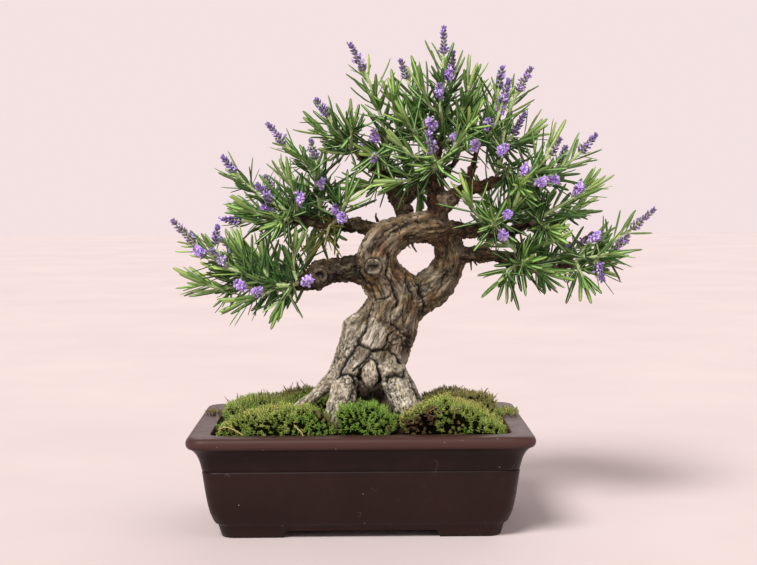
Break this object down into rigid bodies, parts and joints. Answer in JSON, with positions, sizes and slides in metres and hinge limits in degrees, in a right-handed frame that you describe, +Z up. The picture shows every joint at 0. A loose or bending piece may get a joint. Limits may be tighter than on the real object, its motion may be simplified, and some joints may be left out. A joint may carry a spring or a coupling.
{
  "type": "rosemary bonsai",
  "caption": "Rosemary trained as a small bonsai: forked woody trunk with exposed roots, leafy sprays and violet flower spikes, in a dark rectangular pot of mossy soil.",
  "frame": {"origin": "middle of the underside of the whole object's box, on the surface that the pot stands on", "axes": "+Z up, along the tree's height; +X to the right and -Y to the front, as the pot's long front side is seen"},
  "size_m": [0.3122, 0.1814, 0.321],
  "materials": {
    "pot": "dark red-brown moulded plastic, satin, with pale specks and fine scratches",
    "drain_screen": "black plastic mesh",
    "soil": "damp crumbly potting soil with small grit",
    "bark": "rough grey-brown bark with dark fissures, paler on the roots",
    "moss": "soft bright green moss, yellow-green and brown in places",
    "leaf": "leathery green needle leaf, semi-matte",
    "flower": "violet petals and purple-grey buds"
  },
  "bodies": {
    "root": {"drain_screen_left": "drain_screen", "drain_screen_right": "drain_screen", "flower_spike_01": "flower", "flower_spike_02": "flower", "flower_spike_03": "flower", "flower_spike_04": "flower", "flower_spike_05": "flower", "flower_spike_06": "flower", "flower_spike_07": "flower", "flower_spike_08": "flower", "flower_spike_09": "flower", "flower_spike_10": "flower", "flower_spike_11": "flower", "flower_spike_12": "flower", "flower_spike_13": "flower", "flower_spike_14": "flower", "flower_spike_15": "flower", "flower_spike_16": "flower", "flower_spike_17": "flower", "flower_spike_18": "flower", "flower_spike_19": "flower", "flower_spike_20": "flower", "flower_spike_21": "flower", "flower_spike_22": "flower", "flower_spike_23": "flower", "flower_spike_24": "flower", "moss_back_centre": "moss", "moss_back_left": "moss", "moss_back_right": "moss", "moss_front_centre": "moss", "moss_front_left": "moss", "moss_front_right": "moss", "pot": "pot", "soil": "soil", "spray_back_crown": "leaf", "spray_back_left": "leaf", "spray_back_right": "leaf", "spray_crown_front": "leaf", "spray_crown_left": "leaf", "spray_crown_left_tall": "leaf", "spray_crown_top": "leaf", "spray_crown_top_left": "leaf", "spray_crown_top_right": "leaf", "spray_left_low_back": "leaf", "spray_left_low_front": "leaf", "spray_left_low_outer": "leaf", "spray_left_mid_back": "leaf", "spray_left_mid_front": "leaf", "spray_left_mid_inner": "leaf", "spray_left_mid_outer": "leaf", "spray_left_mid_upper": "leaf", "spray_right_low_back": "leaf", "spray_right_low_front": "leaf", "spray_right_low_tip": "leaf", "spray_right_mid": "leaf", "spray_right_mid_front": "leaf", "spray_right_upper_tip": "leaf", "spray_upper_right": "leaf", "spray_upper_right_outer": "leaf", "tree": "bark"}
  },
  "joints": []
}
